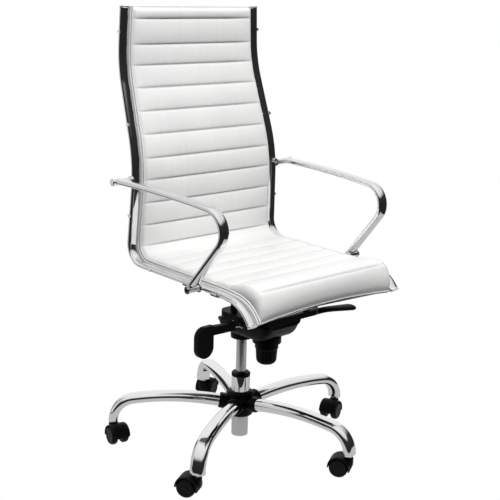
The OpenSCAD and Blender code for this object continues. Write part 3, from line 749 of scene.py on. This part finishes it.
revolve("column_tube", rounded(mm([(20.5, 84), (22.5, 84), (25, 152), (25, 194.5), (20.5, 194.5)]),
                               0.0008),
        upright(), CHROME, "base", ("outer_column",), hollow=True)
revolve("column_foot", rounded(mm([(4.2, 25), (22.5, 25), (22.5, 84.5), (20.5, 84.5), (20.5, 31),
                                   (4.2, 31)]), 0.0012),
        upright(), SATIN, "base", hollow=True)
revolve("cylinder_tube", rounded(mm([(5.2, 128), (14, 128), (14, 303), (13, 360), (4.2, 360),
                                     (4.2, 345), (12, 345), (12, 133), (5.2, 133)]), 0.0008),
        upright(), SATIN, "lift", ("gas_cylinder",), hollow=True)


# ---------------------------------------------------------------- hub

revolve("hub_body", rounded(mm([(22.6, 84), (33, 84), (36, 92), (36, 143), (31, 152), (25.1, 153)]),
                            0.005),
        upright(), BLACK_PLASTIC, "base", ("hub",), hollow=True)
SLEEVE_PATH = turtle((0.022, 0.1165), LEG_RISE, [(0.036, 0)], 0.001)


def sleeve_section(run, total):
    """A slightly tapered sleeve with its outer lip rounded in."""
    lip = 1 - math.sqrt(max(0.0, 1 - max(0.0, (run - total + 0.004) / 0.004) ** 2))
    slim = 0.002 * run / total + 0.003 * lip
    return oval(0.048 - slim, 0.042 - slim)


for number in range(1, 6):
    sweep(f"hub_sleeve_{number}", SLEEVE_PATH, sleeve_section,
          leg_world(BASE_TURN + 72 * (number - 1)), BLACK_PLASTIC, "base")


# ---------------------------------------------------------------- mechanism

KNOB_Y, FLUTES = -97, 12
FLUTE_LOW, FLUTE_HIGH, FLUTE_DEPTH, CUP_INSIDE = 0.259, 0.299, 0.0017, 0.0255


def knob_shape(angle, r, h):
    """Finger flutes round the side of the knob, fading at its rim and foot."""
    fade = smooth((h - FLUTE_LOW) / 0.008) * smooth((FLUTE_HIGH - h) / 0.004) * (r > CUP_INSIDE)
    return r - FLUTE_DEPTH * fade * (0.5 + 0.5 * math.cos(FLUTES * angle)) ** 4


def finely(points, step=0.0015):
    """The same profile with no gap longer than step."""
    out = [points[0]]
    for p, q in zip(points, points[1:]):
        n = max(1, math.ceil(math.dist(p, q) / step))
        out += [(p[0] + (q[0] - p[0]) * k / n, p[1] + (q[1] - p[1]) * k / n) for k in range(1, n + 1)]
    return out


KNOB_PROFILE = rounded(mm([(0, 256), (18, 256), (26.5, 264), (29, 298), (31, 300), (31, 313),
                           (25, 313), (25, 270), (5.2, 270), (5.2, 263), (0, 263)]), 0.006)
revolve("knob_cup", finely(KNOB_PROFILE), upright(0, KNOB_Y * MM), BLACK_PLASTIC,
        "tension_knob", ("tension_knob",), n=192, shape=knob_shape)

# Sections of the housing, in mm: y, the floor's z and the rim's z.
HOUSING = [(-166, 372, 384), (-161, 364, 385.5), (-152, 352, 386), (-143, 343, 386), (-132, 335, 386),
           (-118, 331.5, 386), (-100, 330, 386), (-60, 330, 385), (-20, 330, 376), (14, 331, 368),
           (26, 334, 365), (33, 339, 363), (37, 347, 361)]


HOUSING_HALF, HOUSING_CORNER, HOUSING_LIP = 62, 15, 1.5


def housing_shell():
    """A shallow bowl: straight sides above, rounded in to the floor below."""
    verts, n = [], 0
    for y, low, high in HOUSING:
        tall = high - low
        end = min(y + 168, 40 - y)
        half = HOUSING_HALF - 10 * (1 - smooth(end / 26))
        ring = [(-half + HOUSING_LIP, high), (half - HOUSING_LIP, high), (half, high - HOUSING_LIP)]
        depth = min(0.8 * tall, 34)
        corner = []
        for k in range(13):
            a = math.pi / 2 * k / 12
            corner.append((half - HOUSING_CORNER * (1 - math.cos(a)), low + depth * (1 - math.sin(a))))
        ring += corner + [(-x, z) for x, z in reversed(corner)]
        ring.append((-half, high - HOUSING_LIP))
        n = len(ring)
        verts += [Vector((x * MM, y * MM, z * MM)) for x, z in ring]
    shell = add_mesh("housing_shell", verts, skin_faces(len(HOUSING), n), BLACK_METAL,
                     "lift", ("mechanism_housing",))
    soften(shell, HOUSING_LIP * MM, 3, 30)


housing_shell()
revolve("housing_socket", rounded(mm([(14.1, 303), (30, 303), (31, 332), (14.1, 332)]), 0.002),
        upright(), BLACK_METAL, "lift", hollow=True)
revolve("housing_skirt", rounded(mm([(33.5, 315), (38, 315), (38, 334), (5.6, 334), (5.6, 331),
                                     (33.5, 331)]), 0.0015),
        upright(0, KNOB_Y * MM), BLACK_METAL, "lift", hollow=True)

SPRING_LOW, SPRING_HIGH, SPRING_R, WIRE_R, SPRING_TURNS = 270.3, 329.7, 17.25, 2.75, 6
STEPS_PER_TURN = 40


def tension_coil():
    """A coil between the knob's floor and the housing."""
    verts, steps, sides = [], SPRING_TURNS * STEPS_PER_TURN, 14
    for i in range(steps + 1):
        a = 2 * math.pi * i / STEPS_PER_TURN
        z = SPRING_LOW + WIRE_R + (SPRING_HIGH - SPRING_LOW - 2 * WIRE_R) * i / steps
        for k in range(sides):
            b = -2 * math.pi * k / sides
            r = SPRING_R + WIRE_R * math.cos(b)
            point = (r * math.cos(a), KNOB_Y + r * math.sin(a), z + WIRE_R * math.sin(b))
            verts.append(Vector(point) * MM)
    coil = add_mesh("tension_coil", verts, skin_faces(steps + 1, sides), STEEL, None,
                    ("tension_spring",))
    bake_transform(coil)


tension_coil()

# Stations of the tilt lever's blade, in mm: x, y, z, half width and half thickness.
BLADE = [(122, -140, 381, 8.5, 8.5), (140, -144.5, 383.4, 10, 8), (158, -150, 386, 13.5, 7.2),
         (185, -155.5, 384.8, 16, 7.2), (212, -160.8, 383, 18, 7.6), (240, -166, 381, 19.5, 8)]
BLADE_TIP = 14.5


def tilt_blade():
    """A flat paddle that widens outwards and ends in a round tip."""
    stations = list(BLADE)
    x, y, z, wide, thick = BLADE[-1]
    for k in range(1, 10):
        a = math.pi / 2 * k / 10
        stations.append((x + BLADE_TIP * math.sin(a), y - 2.8 * math.sin(a), z,
                         wide * math.cos(a), thick * math.cos(a)))
    verts, n = [], 32
    for x, y, z, wide, thick in stations:
        for k in range(n):
            a = 2 * math.pi * k / n
            verts.append(Vector((x, y + wide * math.cos(a), z + thick * math.sin(a))) * MM)
    blade = add_mesh("tilt_blade", verts, skin_faces(len(stations), n), BLACK_PLASTIC,
                     "tilt_lever", ("tilt_lever_handle",))
    smoother = blade.modifiers.new("smooth", "SUBSURF")
    smoother.levels = smoother.render_levels = 1


tilt_blade()


# ---------------------------------------------------------------- casters

# In mm: the axle's distance behind the stem, then each caster's bearing in degrees.
TRAIL, TRAIL_TO = 24, (-160, 20, -100, 120, 120)
AXLE_Z, WHEEL_GAP = 25, 13
WHEEL_PROFILE = [(0, 0.2), (20, 0.2), (25, 4), (25, 14), (21.5, 18.8), (16, 19), (15, 18), (7, 17.6),
                 (6, 18.6), (0, 18.8)]
HOOD_HALF, HOOD_R, HOOD_IN, SHOULDER = 25.5, 30, 26.6, 9
NECK_X, NECK_Y = 11.5, 13
NECK_RINGS = ((26, -2.5), (30, -0.5), (36, 0), (47, 0), (51.5, -1), (53.6, -3))


def caster_place(i):
    """A caster's own frame: its stem is Z and it trails towards X."""
    leg = math.radians(BASE_TURN + 72 * (i - 1))
    turn = math.radians(TRAIL_TO[i - 1]) - leg
    return (Matrix.Rotation(leg, 4, "Z") @ Matrix.Translation((REACH, 0, 0))
            @ Matrix.Rotation(turn, 4, "Z"))


def caster_hood(i):
    """A thin fender over both wheels with rounded shoulders, a web between them and a neck."""
    verts, faces = [], []
    place = caster_place(i)

    def loft(rings):
        first = len(verts)
        n = len(rings[0])
        for ring in rings:
            verts.extend(place @ (Vector(p) * MM) for p in ring)
        faces.extend(skin_faces(len(rings), n, True, first))

    def fender_ring(y, outer, inner, start, end):
        arc = [math.radians(start + (end - start) * k / 40) for k in range(41)]
        points = [(TRAIL + outer * math.cos(a), y, AXLE_Z + outer * math.sin(a)) for a in arc]
        return points + [(TRAIL + inner * math.cos(a), y, AXLE_Z + inner * math.sin(a))
                         for a in reversed(arc)]

    shoulders = []
    for k in range(-12, 13):
        y = HOOD_HALF * math.sin(math.pi / 2 * k / 12)
        edge = max(0.0, (abs(y) - HOOD_HALF + SHOULDER) / SHOULDER)
        drop = (HOOD_R - HOOD_IN - 0.4) * (1 - math.sqrt(max(0.0, 1 - edge**2)))
        tuck = 8 * edge**2
        shoulders.append(fender_ring(y, HOOD_R - drop, HOOD_IN, -4 + tuck, 198 - tuck))
    loft(shoulders)
    web = WHEEL_GAP / 2 - 0.8
    loft([fender_ring(y, HOOD_IN + 0.2, 4, 0, 196) for y in (-web, web)])
    rings = []
    for z, grow in NECK_RINGS:
        ring = []
        for k in range(32):
            a = -2 * math.pi * k / 32
            c, d = math.cos(a), math.sin(a)
            ring.append((1 + math.copysign((NECK_X + grow) * abs(c) ** 0.7, c),
                         math.copysign((NECK_Y + grow) * abs(d) ** 0.7, d), z))
        rings.append(ring)
    loft(rings)
    hood = add_mesh(f"hood_{i}", verts, faces, BLACK_PLASTIC, f"caster_{i}",
                    (f"caster_{i}_hood",))
    soften(hood, 0.5 * MM, 2, 40)


for number in range(1, 6):
    caster_hood(number)
    for letter, side in (("a", 1), ("b", -1)):
        axle = caster_place(number) @ upright(TRAIL * MM, side * WHEEL_GAP / 2 * MM, AXLE_Z * MM)
        revolve(f"wheel_{number}{letter}", rounded(mm(WHEEL_PROFILE), 0.003),
                axle @ Matrix.Rotation(math.radians(-90 * side), 4, "X"), WHEEL,
                f"caster_{number}_wheel_{letter}", (f"caster_{number}_wheel_{letter}",), n=72)
